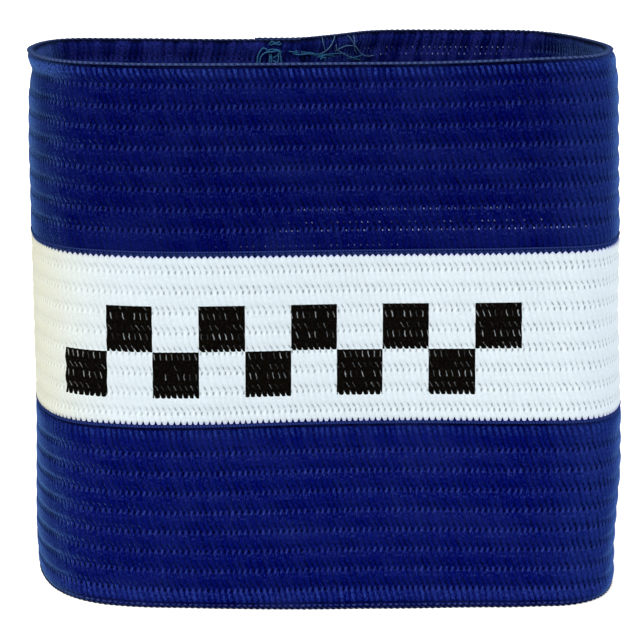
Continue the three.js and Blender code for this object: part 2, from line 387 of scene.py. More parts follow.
class Band:
    """A closed woven skin: rows of points up its outer face and down its inner one.

    outer_ends and inner_ends are the rows below and above those about the grooves, each a height,
    half the wall's thickness, a thread's relief and a gap's depth. edges gives the bottom and the
    top edge row: what kind and how high.
    """

    def __init__(self, section, outer_ends, inner_ends, edges):
        self.first = FIRST_GROOVE[section]
        self.pitch = SECTION_PITCH[section]
        outer = face_rows(section, OUTER_ROWS, *outer_ends)
        inner = face_rows(section, INNER_ROWS, *inner_ends)[::-1]
        self.rows = np.vstack([outer, inner])
        self.outer_count = len(outer)
        self.count = len(self.rows)
        self.side = np.where(np.arange(self.count) < self.outer_count, 1.0, -1.0)
        share = (self.rows[:, 0] - self.rows[:, 0].min()) / np.ptp(self.rows[:, 0])
        self.bake_low = 0.03 + 0.9 * share
        self.lay_threads()
        self.raise_threads(edges)
        self.number_points()

    def lay_threads(self):
        """Where each row crosses each column, and whether that is on the strip."""
        base = round(float(np.interp(self.rows[:, 0].mean(), LEAN_Z, LEAN)))
        self.lean = np.interp(self.rows[:, 0], LEAN_Z, LEAN) - base
        reach = int(math.ceil(np.abs(self.lean).max())) + 1
        column = np.arange(-reach * COLUMNS, int(LENGTH / WEFT + reach + 1) * COLUMNS)
        thread = column / COLUMNS
        self.phase = thread[None, :] + np.zeros((self.count, 1))
        self.number = thread - base + THREADS // 8
        uneven = np.interp(self.number, np.arange(THREADS), UNEVEN)
        wave = sum(size * np.sin((thread - base)[None, :] / along + self.rows[:, 0][:, None] / up)
                   for size, along, up in THREAD_WAVES)
        arc = WEFT * (thread[None, :] + self.lean[:, None] + uneven[None, :] + wave)
        self.inside = (arc > 0) & (arc < LENGTH)
        self.arc = np.clip(arc, 0, LENGTH)

    def raise_threads(self, edges):
        """The points: toothed edges, ribs and grooves, and threads proud of the gaps."""
        height, half, relief, gap = (self.rows[:, i][:, None] for i in range(4))
        fade = smooth(np.minimum(self.arc, LENGTH - self.arc), 0, END_FADE)
        self.z = height + np.zeros_like(self.arc)
        top = self.outer_count - 1
        for pair, (kind, rise) in zip(((0, self.count - 1), (top, top + 1)), edges):
            for r in pair:
                self.z[r] += rise * tooth(self.phase[r], kind) * fade[r]
        between = np.clip(-np.cos(2 * math.pi * self.phase), 0, 1) ** 2
        proud = np.interp(self.number, np.arange(THREADS), PROUD)
        depth = gap * between * random.uniform(*GAP_SCATTER, self.arc.shape)
        fade = fade * (1 - CALM_SHARE * sum(folds(self.arc, LEFT_CALM, RIGHT_CALM)))
        at_left, at_right = folds(self.arc, LEFT_FLAT, RIGHT_FLAT)
        relief = relief * np.cos(2 * math.pi * self.phase) * proud[None, :]
        pressed = LEFT_PRESSED * at_left + RIGHT_PRESSED * at_right
        half = half - pressed * np.maximum(half - PRESSED_HALF, 0)
        offset = self.side[:, None] * (half + fade * (relief - depth)) + swell(self.arc, self.z)
        self.points = wall(self.arc, offset, self.z)

    def number_points(self):
        """The vertices: all points on the strip, then each row's first and last point."""
        index = np.full(self.arc.shape, -1)
        index[self.inside] = np.arange(self.inside.sum())
        self.starts = self.inside.sum() + np.arange(self.count)
        self.ends = self.starts + self.count
        beyond = np.where(self.arc <= 0, self.starts[:, None], self.ends[:, None])
        self.index = np.where(self.inside, index, beyond)
        self.vertices = np.vstack([self.points[self.inside], self.points[:, 0], self.points[:, -1]])

    def bake_map(self):
        """A spot for each face in the square: two halves for each side, with room between."""
        high = np.roll(self.bake_low, -1)
        high[self.outer_count - 1] = 0.97
        high[-1] = 0.005
        up = np.stack([self.bake_low, self.bake_low, high, high], -1)[:, None]
        arcs = corners(self.arc)
        second = (arcs.mean(axis=2, keepdims=True) > LENGTH / 2).astype(float)
        cell = np.where(self.side > 0, 0, 2)[:, None, None] + second
        across = 0.01 + 0.98 * (arcs - second * LENGTH / 2) / (LENGTH / 2)
        return np.stack([across, (cell + up) / 4], -1)

    def faces(self):
        """The wall's faces and for their corners its three maps, as six numbers."""
        thread = np.where(self.inside, self.phase, self.arc / WEFT - self.lean[:, None])
        maps = corners(np.stack([thread, (self.z - self.first) / self.pitch,
                                 self.arc * self.side[:, None], self.z], -1))
        maps = np.concatenate([maps, self.bake_map()], -1)
        quads = corners(self.index)
        low = quads[..., 0] == quads[..., 1]
        high = quads[..., 2] == quads[..., 3]
        parts = ((~low & ~high, [0, 1, 2, 3]), (low & ~high, [1, 2, 3]), (high & ~low, [0, 1, 2]))
        faces = sum((quads[chosen][:, keep].tolist() for chosen, keep in parts), [])
        return faces, [maps[chosen][:, keep].reshape(-1, 6) for chosen, keep in parts]

    def add_cut_ends(self, faces, maps):
        """Close the wall at the strip's two cut ends."""
        outside = np.arange(self.outer_count)
        within = np.arange(self.count - 1, self.outer_count - 1, -1)
        for cell, corner_ids, arc in ((0, self.starts, 0.0), (1, self.ends, LENGTH)):
            for triangle in cap(self.rows[:, 0], outside, within, cell == 1):
                faces.append([int(corner_ids[r]) for r in triangle])
                r = np.array(triangle)
                z, side = self.rows[r, 0], self.side[r]
                maps.append(np.stack([
                    arc / WEFT - self.lean[r], (z - self.first) / self.pitch, arc * side, z,
                    0.996 + 0.003 * side, (cell + self.bake_low[r]) / 4], -1))


def woven_band(name, node, section, outer_ends, inner_ends, edges, material):
    """A woven skin in place of one solid wall."""
    band = Band(section, outer_ends, inner_ends, edges)
    faces, maps = band.faces()
    band.add_cut_ends(faces, maps)
    maps = np.vstack(maps)
    piece = new_piece(name, band.vertices, faces, material,
                      {"weave": maps[:, :2], "place": maps[:, 2:4], "OFBake": maps[:, 4:]})
    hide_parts(node)


def cap(heights, outside, within, turned):
    """Triangles of a cut end between its outer and its inner row of points, both going up."""
    steps = sorted([(heights[r], 0) for r in outside[1:]] + [(heights[r], 1) for r in within[1:]])
    a, b = 0, 0
    found = []
    for _, inner in steps:
        if inner:
            found.append((outside[a], within[b + 1], within[b]))
            b += 1
        else:
            found.append((outside[a], outside[a + 1], within[b]))
            a += 1
    return [triangle[::-1] for triangle in found] if turned else found


def skin(grids):
    """Closed tubes from grids of points, going round and then along, each with two flat ends."""
    points, faces, maps = [], [], []
    for grid, turns in grids:
        around, along = grid.shape[:2]
        start = sum(len(p) for p in points)
        points.append(grid.reshape(-1, 3))
        index = start + np.arange(around * along).reshape(around, along)
        faces += corners(index).reshape(-1, 4).tolist()
        faces += [index[:, 0].tolist(), index[::-1, -1].tolist()]
        u, v = np.meshgrid(turns, np.arange(around) / around)
        weave = corners(np.stack([u, v], -1))
        weave[-1, :, 2:, 1] = 1
        maps.append(np.vstack([weave.reshape(-1, 2), np.full((2 * around, 2), (turns[0], 0.5))]))
    return np.vstack(points), faces, {"weave": np.vstack(maps)}


def edge_roll(z, out, half_width, half_height, bulge, sides, steps):
    """A rolled edge or a cord along the strip; its thread turns round it as small slanting loops.

    bulge is how far a loop stands out, and steps how many points there are for each thread.
    """
    thread = np.linspace(0, LENGTH / WEFT, int(LENGTH / WEFT * steps))
    angle = np.linspace(0, 2 * math.pi, sides, endpoint=False)[:, None]
    proud = np.interp(thread + THREADS // 8, np.arange(THREADS), PROUD)
    size = 1 + bulge * np.cos(2 * math.pi * thread[None, :] + angle) * proud
    arc = WEFT * thread[None, :]
    offset = out + half_width * np.cos(angle) * size
    height = z + half_height * np.sin(angle) * size
    return wall(arc, offset + swell(arc, z), height), thread


# A thread's tube: its sides, its steps from one given point to the next, a direction that no
# thread runs in, and the length of one turn of its map, in millimetres
TUBE_SIDES = 6
TUBE_STEPS = 8
ASKEW = (0.21, 0.35, 0.91)
THREAD_TURN = 0.5


def thread_tube(points, radius):
    """A thread through given points, in millimetres, as one smooth thin tube."""
    points = np.array(points, dtype=float)
    ends = np.vstack([2 * points[0] - points[1], points, 2 * points[-1] - points[-2]])
    share = np.linspace(0, 1, TUBE_STEPS, endpoint=False)[:, None]
    path = [0.5 * (2 * b + (c - a) * share + (2 * a - 5 * b + 4 * c - d) * share ** 2
                   + (3 * b - a - 3 * c + d) * share ** 3)
            for a, b, c, d in zip(ends, ends[1:], ends[2:], ends[3:])]
    path = np.vstack(path + [points[-1:]])
    tangent = np.gradient(path, axis=0)
    tangent /= np.linalg.norm(tangent, axis=1, keepdims=True)
    across = np.cross(tangent, ASKEW)
    across /= np.linalg.norm(across, axis=1, keepdims=True)
    other = np.cross(tangent, across)
    angle = np.linspace(0, 2 * math.pi, TUBE_SIDES, endpoint=False)[:, None, None]
    grid = path[None] + radius * (np.cos(angle) * across[None] + np.sin(angle) * other[None])
    length = np.concatenate([[0], np.cumsum(np.linalg.norm(np.diff(path, axis=0), axis=1))])
    return grid, length / THREAD_TURN


class Nodes:
    """A node tree, built node by node."""

    def __init__(self, tree):
        self.tree = tree

    def node(self, kind, inputs=(), **settings):
        """A new node of one kind, with its settings and with what goes into its inputs."""
        node = self.tree.nodes.new("ShaderNode" + kind)
        for key, value in settings.items():
            setattr(node, key, value)
        for key, value in dict(inputs).items():
            self.put(node.inputs[key], value)
        return node

    def put(self, socket, value):
        """Link a socket's result into a socket, or set a number or a colour there."""
        if isinstance(value, bpy.types.NodeSocket):
            self.tree.links.new(value, socket)
        elif isinstance(value, tuple) and len(value) == 3 and socket.type == "RGBA":
            socket.default_value = (*value, 1)
        else:
            socket.default_value = value


class Shader(Nodes):
    """A procedural material. Most methods add nodes and give the socket that has their result."""

    def __init__(self, name, roughness, sheen, sheen_tint):
        self.material = bpy.data.materials.new(name)
        self.material.use_nodes = True
        super().__init__(self.material.node_tree)
        self.tree.nodes.clear()
        self.surface = self.node("BsdfPrincipled", {
            "Roughness": roughness, "Specular IOR Level": 0.0, "Sheen Weight": sheen,
            "Sheen Roughness": 0.23, "Sheen Tint": sheen_tint})
        self.node("OutputMaterial", {0: self.surface.outputs[0]})

    def math(self, operation, *values, clamp=False):
        """One arithmetic step."""
        return self.node("Math", enumerate(values), operation=operation, use_clamp=clamp).outputs[0]

    def minus(self, value, other):
        """A difference."""
        return self.math("SUBTRACT", value, other)

    def product(self, *values):
        """All values multiplied."""
        total = values[0]
        for value in values[1:]:
            total = self.math("MULTIPLY", total, value)
        return total

    def weighted(self, *pairs):
        """The sum of values, each with its weight."""
        total = self.product(*pairs[-1])
        for value, weight in reversed(pairs[:-1]):
            total = self.math("ADD", self.product(value, weight), total)
        return total

    def less(self, share, value):
        """1 without a share of the value."""
        return self.minus(1.0, self.product(share, value))

    def at_least(self, low, value):
        """From low to 1 as the value goes from 0 to 1."""
        return self.math("ADD", low, self.product(1 - low, value))

    def step(self, value, start, end):
        """0 at start and 1 at end, with an even turn at both."""
        inputs = {"Value": value, "From Min": start, "From Max": end}
        return self.node("MapRange", inputs, interpolation_type="SMOOTHSTEP").outputs[0]

    def near(self, value, middle, half, soft):
        """1 within half of the middle, 0 beyond half + soft."""
        away = self.math("ABSOLUTE", self.minus(value, middle))
        return self.minus(1.0, self.step(away, half, half + soft))

    def gap(self, thread):
        """1 in the middle of the gap between two threads, 0 on the middle of a thread."""
        away = self.math("ABSOLUTE", self.minus(self.math("FRACT", thread), 0.5))
        return self.less(2.0, away)

    def mix(self, share, first, second):
        """The first colour where the share is 0, the second where it is 1."""
        return self.node("Mix", {"Factor": share, 6: first, 7: second}, data_type="RGBA").outputs[2]

    def pair(self, map_name):
        """The two values of a map."""
        parts = self.node("SeparateXYZ", {0: self.node("UVMap", uv_map=map_name).outputs[0]})
        return parts.outputs[0], parts.outputs[1]

    def join(self, *values):
        """Three values as one vector."""
        return self.node("CombineXYZ", enumerate(values)).outputs[0]

    def noise(self, x, y, detail, seed):
        """Soft random spots one unit wide."""
        inputs = {"Vector": self.join(x, y, seed), "Scale": 1.0, "Detail": detail}
        return self.node("TexNoise", inputs).outputs[0]

    def chance(self, x, y, seed):
        """A random value, 0 to 1, for each pair of whole numbers."""
        inputs = {"Vector": self.join(x, y, seed)}
        return self.node("TexWhiteNoise", inputs, noise_dimensions="3D").outputs["Value"]

    def bump(self, height, distance):
        """Fine relief on the surface."""
        node = self.node("Bump", {"Strength": 1.0, "Distance": distance, "Height": height})
        self.put(self.surface.inputs["Normal"], node.outputs[0])

    def finish(self, colour):
        """The material, in a colour."""
        self.put(self.surface.inputs["Base Color"], colour)
        return self.material


class Cloth(Shader):
    """A ribbed cloth's material, with where a place lies in the weave.

    thread and rib count threads and ribs; arc (below 0 on the inner face) and height are in
    millimetres; number is the nearest thread, slot the gap, groove the nearest groove and above the
    height above it; between is 1 in the middle of a gap.
    """

    def __init__(self, name, sheen, sheen_tint):
        super().__init__(name, 0.9, sheen, sheen_tint)
        self.thread, self.rib = self.pair("weave")
        self.arc, self.height = self.pair("place")
        self.number = self.math("FLOOR", self.math("ADD", self.thread, 0.5))
        self.slot = self.math("FLOOR", self.thread)
        nearest = self.math("FLOOR", self.math("ADD", self.rib, 0.5))
        self.groove = self.math("MINIMUM", self.math("MAXIMUM", nearest, 0.0), GROOVES - 1.0)
        self.above = self.product(self.minus(self.rib, self.groove), RIB_PITCH)
        self.ribbed = self.near(self.rib, (GROOVES - 1) / 2, GROOVES / 2 - 0.1, 0.1)
        wander = self.product(WANDER, self.minus(self.grain("wander"), 0.5))
        self.between = self.gap(self.math("ADD", self.thread, wander))
        self.fibre = self.grain("fibre")
        self.fuzz = self.grain("fuzz")

    def grain(self, name):
        """One of the cloth's fine patterns."""
        along, up, detail, seed = GRAINS[name]
        x, y = self.product(self.thread, along), self.product(self.rib, up)
        return self.noise(x, y, detail, seed)

    def draw(self, of, name):
        """A random value for each thread or gap, and for each groove."""
        return self.chance(of, self.groove, SEEDS[name])

    def leaning_gap(self, lean):
        """The gaps below a groove, leaning back from the threads' own lean."""
        back = self.product(lean, self.minus(self.above, DOTS[0]))
        return self.gap(self.minus(self.thread, back))


def folded(s, right_share=1.0):
    """1 in the left fold on the outer face, right_share in the right one, 0 elsewhere."""
    left, right = (s.near(s.arc, (start + end) / 2, (end - start) / 2, FOLD_SOFT)
                   for start, end in (LEFT_FOLD, RIGHT_FOLD))
    return s.math("MAXIMUM", left, s.product(right, right_share))


def openings(s, slit_edge, dot_edge):
    """1 where the weave is open, for painted shade: a slit above a groove, a dot below it."""
    slit = s.product(s.near(s.above, *SLITS), s.step(s.between, slit_edge, 0.95), 0.9)
    dot = s.product(s.near(s.above, *DOTS),
                    s.step(s.leaning_gap(DOT_LEAN), dot_edge, dot_edge + 0.3))
    strength = s.at_least(0.55, s.draw(s.slot, "opening"))
    return s.product(s.math("MAXIMUM", slit, dot), strength, s.ribbed)


def gap_lines(s):
    """1 on the line of painted shade between two threads, fainter over the ribs."""
    beyond = s.step(s.math("ABSOLUTE", s.above), *BEYOND_RIBS)
    level = s.math("ADD", s.at_least(LINE_LEVEL, s.near(s.above, *LINE_SHOULDER)),
                   s.product(1 - LINE_LEVEL, beyond), clamp=True)
    return s.product(s.step(s.between, 0.30, 0.85), level,
                     s.at_least(0.55, s.draw(s.slot, "line")))


def edge_rows(s, colour, edges):
    """The colour with darker and lighter edge rows, some painted shade or highlight; weaker inside.
    """
    outer = s.at_least(0.3, s.step(s.arc, -0.5, 0.5))
    for place, half, soft, edge_colour, share, on_threads in edges:
        patch = s.math("MULTIPLY", s.near(s.rib, place, half, soft), s.math(
            "ADD", share * 0.4, s.product(s.fibre, share * 1.2)), clamp=True)
        if on_threads:
            own = s.at_least(0.3, s.chance(s.number, NO_GROOVE, SEEDS["edge"]))
            uneven = s.math("ADD", 0.45, s.product(0.75, s.step(s.fuzz, 0.40, 0.58)))
            patch = s.product(patch, s.step(s.between, 0.8, 0.2), outer, own, uneven)
        colour = s.mix(patch, colour, edge_colour)
    return colour


def lit_threads(s, light_share):
    """Lighter threads: painted highlight strokes and fluff below a groove, and each one's own tone.
    """
    stroke = s.product(s.near(s.above, *STROKES), s.step(s.leaning_gap(STROKE_LEAN), 0.48, 0.08),
                       s.ribbed, s.at_least(0.25, s.draw(s.number, "stroke")))
    fluff = s.product(s.step(s.fuzz, 0.53, 0.66), s.at_least(0.4, s.near(s.above, -0.95, 0.3, 0.8)))
    own = s.draw(s.number, "thread")
    return s.math("MULTIPLY", light_share, s.weighted((stroke, 1.1), (fluff, 0.8), (own, 0.12)),
                  clamp=True)


def painted_inner_light(s, colour):
    """The colour with painted light on the inner face, in uneven patches."""
    inner_light_patches = s.step(s.grain("inner_light_patches"), 0.40, 0.68)
    inner = s.product(s.step(s.arc, 0.0, -0.5), inner_light_patches, s.at_least(0.1, s.step(s.fuzz, 0.38, 0.62)))
    return s.mix(inner, colour, INNER_LIGHT_BLUE)


def painted_rim_and_pinhole_light(s, colour):
    """The colour with painted light under the rim in the left fold and through pinholes in rows."""
    # Painted light under the rim in the left fold
    along, up, share, rim_light_colour = RIM_PAINTED_LIGHT
    fluff = s.step(s.fuzz, 0.40, 0.62)
    rim_light = s.product(s.near(s.arc, *along), s.near(s.height, *up), fluff, share)
    colour = s.mix(rim_light, colour, rim_light_colour)
    # Painted light seen through pinholes, in short rows
    in_gap = s.step(s.gap(s.thread), 0.78, 0.95)
    for i, (height, start, end, bright) in enumerate(PINHOLE_LIGHT_ROWS):
        in_row = s.product(s.near(s.height, height, 0.06, 0.09),
                           s.near(s.arc, (start + end) / 2, abs(end - start) / 2, 2.0))
        own_light = s.step(s.chance(s.slot, i * 10.0, SEEDS["pinhole"]), 0.10, 1.15)
        colour = s.mix(s.product(in_row, in_gap, own_light, bright), colour, PINHOLE_LIGHT_BLUE)
    return colour


def chequer(s, x, y):
    """1 on every second square of the printed field, 0 elsewhere; x and y from its middle."""
    inside = s.product(s.math("LESS_THAN", s.math("ABSOLUTE", x), PRINT_LENGTH / 2),
                       s.math("LESS_THAN", s.math("ABSOLUTE", y), PRINT_HEIGHT / 2))
    column = s.math("FLOOR", s.product(x, PRINT_COLUMNS / PRINT_LENGTH))
    row = s.math("FLOOR", s.product(y, PRINT_ROWS / PRINT_HEIGHT))
    odd = s.math("FLOORED_MODULO", s.math("ADD", column, row), 2.0)
    return s.product(inside, s.minus(1.0, odd))


def printed(s, colour):
    """The colour with a plain two-row chequer in ink, which the weave notches and breaks up."""
    x = s.minus(s.arc, arc_at_front(PRINT_MIDDLE_X))
    y = s.minus(s.height, PRINT_MIDDLE_Z)
    notch = s.weighted(*((s.step(s.between, start, end), size) for size, start, end in NOTCHES))
    ink = s.product(chequer(s, x, y), chequer(s, x, s.minus(y, notch)))
    in_gap = s.step(s.between, *INK_GAP)
    streak = s.product(s.near(s.above, *STREAKS), in_gap,
                       s.step(s.draw(s.slot, "streak"), 0.0, 1.0))
    nick = s.product(s.near(s.above, *NICKS), in_gap,
                     s.step(s.draw(s.slot, "nick"), 0.1, 1.1), NICK_SHARE)
    ink = s.product(ink, s.less(INK_BREAK, s.math("MAXIMUM", streak, nick)))
    return s.mix(ink, colour, s.mix(s.step(s.fuzz, 0.5, 0.75), INK, WORN_INK))


def weave_material(name, base, shade, light, gap, line_share, gap_share, light_share, sheen,
                   tint, slit_edge, dot_edge, painted_fold_light, edges, rim_and_pinhole_light=False, blue=False):
    """Ribbed cloth: uneven threads, slits and dots beside each groove, and fine fibres.

    slit_edge and dot_edge are where between two threads a slit and a dot start. edges are (rib,
    half, soft, colour, share, on_threads): where an edge is darker or lighter, all over or on
    threads alone, as painted shade, painted highlight or the edge's own colour. The openings and
    the lines between threads carry painted shade. Blue cloth has painted light on its inner face
    and painted shade in its grooves in the folds, also sunk in the bump; the white is printed and
    its openings are fainter at the left.
    """
    s = Cloth(name, sheen, tint)
    opening = openings(s, slit_edge, dot_edge)
    if not blue:
        opening = s.product(opening, s.less(FAINT_SHARE, s.near(s.arc, *FAINT_OPENINGS)))
    colour = edge_rows(s, base, edges)
    # Painted light in a fold: painted sheen on the blue, painted warm light on the white
    fold_light_place, fold_light_share, fold_light_colour = painted_fold_light
    colour = s.mix(s.product(s.near(s.arc, *fold_light_place), fold_light_share), colour, fold_light_colour)
    dim = s.product(s.step(s.fuzz, 0.50, 0.40), 0.6)
    line = s.math("MAXIMUM", gap_lines(s), dim)
    # Painted shade on the lines between threads, and darker fuzz
    colour = s.mix(s.product(line, line_share), colour, shade)
    colour = s.mix(lit_threads(s, light_share), colour, light)
    slow = s.step(s.grain("slow"), 0.4, 0.75)
    colour = s.mix(s.product(slow, light_share * 0.15), colour, light)
    # Painted shade in the openings
    colour = s.mix(s.product(opening, gap_share), colour, gap)

    relief = [(opening, -1.0), (s.grain("fine"), 0.7), (s.fuzz, 0.9)]
    if blue:
        colour = painted_inner_light(s, colour)
        in_fold = folded(s, RIGHT_GROOVES)
        # Painted shade in the grooves in the folds, also sunk in the bump
        band = s.product(s.near(s.above, *GROOVE_BAND), in_fold, s.ribbed)
        colour = s.mix(s.product(band, GROOVE_SHADE), colour, shade)
        relief.insert(0, (band, -GROOVE_DEPTH))
    else:
        colour = printed(s, colour)
    if rim_and_pinhole_light:
        colour = painted_rim_and_pinhole_light(s, colour)
    calm = s.less(FOLD_CALM, folded(s))
    s.bump(s.product(s.weighted(*relief), calm), 0.1 * MM)
    return s.finish(colour)


def thread_material(name, base, light, turns, sheen, tint, shaded=None):
    """Twisted thread: a slanting stripe of light along each turn.

    shaded is where the thread is darker: the middle, half and soft edge of a part of its round,
    counted from its outer side upwards, 0 to 1, and how much darker.
    """
    s = Shader(name, 0.75, sheen, tint)
    along, around = s.pair("weave")
    ridge = s.gap(s.math("ADD", s.product(along, turns), around))
    fibre = s.noise(s.product(along, 6.0), s.product(around, 9.0), 2.0, 4.0)
    s.bump(ridge, 0.04 * MM)
    share = s.product(s.step(ridge, 0.3, 0.9), s.math("ADD", 0.3, fibre))
    colour = s.mix(share, base, light)
    if shaded:
        *place, dark_share = shaded
        colour = s.mix(s.product(dark_share, s.near(around, *place)), colour, SHADED_BLUE)
    return s.finish(colour)


def floor_material():
    """Matt floor, nearly white, with a little light of its own so that it has no grey edge."""
    s = Shader("pale floor", 0.6, 0.0, (1, 1, 1))
    place = s.node("TexCoord").outputs["Object"]
    grain = s.node("TexNoise", {"Vector": place, "Scale": 3.0})
    s.put(s.surface.inputs["Emission Color"], (1, 1, 1))
    s.put(s.surface.inputs["Emission Strength"], 0.45)
    return s.finish(s.mix(grain.outputs[0], (0.93, 0.93, 0.93), (0.96, 0.96, 0.96)))


# Sheen tints, and the rows along the bands' edges as weave_material has them; some rows are
# painted shade or painted highlight, as said above each, the others the edges' own colour
BLUE_TINT = (0.17, 0.395, 1.0)
TEAL_TINT = (0.4, 0.7, 1.0)
# Painted shade in the groove under the rim
PAINTED_SHADE_UNDER_RIM = (7.775, 0.07, 0.015, (0.0, 0.0, 0.004), 2.2, False)
# Painted highlight on the thread tops below the groove under the rim
PAINTED_HIGHLIGHT_BELOW_RIM = (7.61, 0.04, 0.42, (0.018, 0.042, 0.26), 0.95, True)
BESIDE_STRIPE = (-1.34, 0.06, 0.03, (0.018, 0.036, 0.14), 1.0, False)
TOP_TIPS = (7.69, 0.05, 0.09, (0.48, 0.52, 0.88), 1.0, False)
LOW_TIPS = (-0.65, 0.04, 0.09, (0.48, 0.52, 0.88), 0.9, False)
# Painted shade in the groove under the lower border cord
PAINTED_SHADE_UNDER_STRIPE = (8.13, 0.05, 0.03, (0.0, 0.0, 0.010), 1.6, False)
# Painted highlight on the thread tops below the groove under the cord
PAINTED_HIGHLIGHT_BELOW_STRIPE = (7.955, 0.06, 0.38, (0.012, 0.030, 0.20), 0.8, True)
# Painted highlight on the thread tops of the last rib above the hem
PAINTED_HIGHLIGHT_ABOVE_BASE = (-0.37, 0.10, 0.35, (0.016, 0.036, 0.26), 0.7, True)
# Painted shade in the row between the cloth and the hem's dashes
PAINTED_SHADE_OVER_HEM = (-0.765, 0.03, 0.04, (0.0, 0.0, 0.018), 1.5, False)
HEM_DASHES = (-0.875, 0.03, 0.03, (0.060, 0.085, 0.24), 0.75, True)
# Painted shadow along the foot, where the band meets the floor
PAINTED_SHADOW_AT_BASE = (-1.02, 0.06, 0.04, (0.0, 0.0, 0.012), 1.6, False)

BLUE_LOOK = {
    "shade": (0.0, 0.0, 0.020), "gap": (0.0, 0.0, 0.008), "line_share": 0.9, "gap_share": 0.9,
    "light_share": 0.72, "sheen": 0.62, "tint": BLUE_TINT, "slit_edge": 0.60, "dot_edge": 0.52,
    "painted_fold_light": BLUE_FOLD_PAINTED_SHEEN, "blue": True,
}
# The blue above the stripe has a darker base colour than the blue below it
upper_blue = weave_material(
    "blue elastic above the stripe", base=(0.0002, 0.0010, 0.071), light=(0.016, 0.028, 0.172),
    edges=(PAINTED_HIGHLIGHT_BELOW_RIM, PAINTED_SHADE_UNDER_RIM, BESIDE_STRIPE), rim_and_pinhole_light=True, **BLUE_LOOK)
lower_blue = weave_material(
    "blue elastic below the stripe", base=(0.0004, 0.0022, 0.097), light=(0.020, 0.035, 0.210),
    edges=(PAINTED_HIGHLIGHT_BELOW_STRIPE, PAINTED_SHADE_UNDER_STRIPE, PAINTED_HIGHLIGHT_ABOVE_BASE, PAINTED_SHADE_OVER_HEM, HEM_DASHES, PAINTED_SHADOW_AT_BASE), **BLUE_LOOK)
white = weave_material(
    "white elastic", base=(0.540, 0.618, 0.702), shade=(0.443, 0.508, 0.568),
    light=(0.636, 0.725, 0.814), gap=(0.13, 0.15, 0.16), line_share=0.5, gap_share=0.8,
    light_share=0.6, sheen=0.05, tint=(1.0, 1.0, 1.0), slit_edge=0.68, dot_edge=0.62,
    painted_fold_light=WHITE_FOLD_PAINTED_WARM_LIGHT, edges=(TOP_TIPS, LOW_TIPS))
rim, shadowed_base_rim, pale_cord, dark_cord, pale_teal, teal = (thread_material(*look) for look in (
    # The top rim, with painted shade on its inner side
    ("blue rim", (0.018, 0.031, 0.112), (0.065, 0.098, 0.250), 1.0, 0.3, BLUE_TINT,
     (0.55, 0.16, 0.12, 0.6)),
    # The bottom rim: its dark colour is painted shadow where it meets the floor, darker still
    # underneath
    ("dark rim", (0.001, 0.002, 0.030), (0.050, 0.070, 0.210), 1.0, 0.1, BLUE_TINT,
     (0.90, 0.14, 0.05, 1.0)),
    ("pale border cord", (0.006, 0.012, 0.09), (0.03, 0.05, 0.21), 2.0, 0.2, BLUE_TINT),
    ("dark border cord", (0.005, 0.011, 0.08), (0.025, 0.045, 0.20), 2.0, 0.2, BLUE_TINT),
    ("loose seam thread", (0.03, 0.10, 0.22), (0.20, 0.36, 0.56), 2.0, 0.2, TEAL_TINT),
    ("seam thread", (0.012, 0.075, 0.19), (0.075, 0.25, 0.47), 2.0, 0.2, TEAL_TINT)))

# The three bands; an end row is a height, half the thickness, a thread's relief and a gap's depth
STRIPE_LOW_EDGE = (STRIPE_BOTTOM, 0.62, 0.05, 0.0)
STRIPE_HIGH_EDGE = (STRIPE_TOP, 0.62, 0.05, 0.0)
BLUE_BESIDE_LOW = (STRIPE_BOTTOM, 0.50, 0.02, 0.0)
BLUE_BESIDE_HIGH = (STRIPE_TOP, 0.50, 0.02, 0.0)
woven_band(
    "lower_band_weave", "lower_band", "lower",
    ([(0.30, 0.42, 0.03, 0.0), (0.75, 0.48, 0.05, 0.04), (1.2, 0.70, 0.05, 0.03),
      (1.85, 0.80, 0.05, 0.0)],
     [(26.4, 0.78, 0.06, 0.0), (27.2, 0.66, 0.07, 0.04), (27.45, 0.45, 0.04, 0.0),
      (27.8, 0.42, 0.02, 0.0), BLUE_BESIDE_LOW]),
    ([(0.30, 0.42, 0.03, 0.0), (1.2, 0.70, 0.05, 0.03)],
     [(27.05, 0.66, 0.05, 0.04), BLUE_BESIDE_LOW]),
    (("spikes", 0.0), ("spikes", BOTTOM_SPIKE)), lower_blue)
woven_band(
    "centre_stripe_weave", "centre_stripe", "stripe",
    ([STRIPE_LOW_EDGE, (29.15, 0.74, 0.05, 0.0)], [STRIPE_HIGH_EDGE]),
    ([STRIPE_LOW_EDGE], [STRIPE_HIGH_EDGE]),
    (("spikes", BOTTOM_SPIKE), ("teeth", TOP_TOOTH)), white)
woven_band(
    "upper_band_weave", "upper_band", "upper",
    ([BLUE_BESIDE_HIGH, (53.0, 0.45, 0.02, 0.0), (53.6, 0.50, 0.03, 0.0),
      (54.0, 0.68, 0.05, 0.03), (55.05, 0.80, 0.05, 0.0)],
     [(78.85, 0.76, 0.07, 0.04), (79.18, 0.64, 0.07, 0.05), (79.36, 0.44, 0.03, 0.0),
      (79.75, 0.38, 0.03, 0.0)]),
    ([BLUE_BESIDE_HIGH, (54.0, 0.68, 0.05, 0.03)],
     [(79.1, 0.66, 0.06, 0.04), (79.75, 0.38, 0.03, 0.0)]),
    (("teeth", TOP_TOOTH), ("teeth", 0.0)), upper_blue)

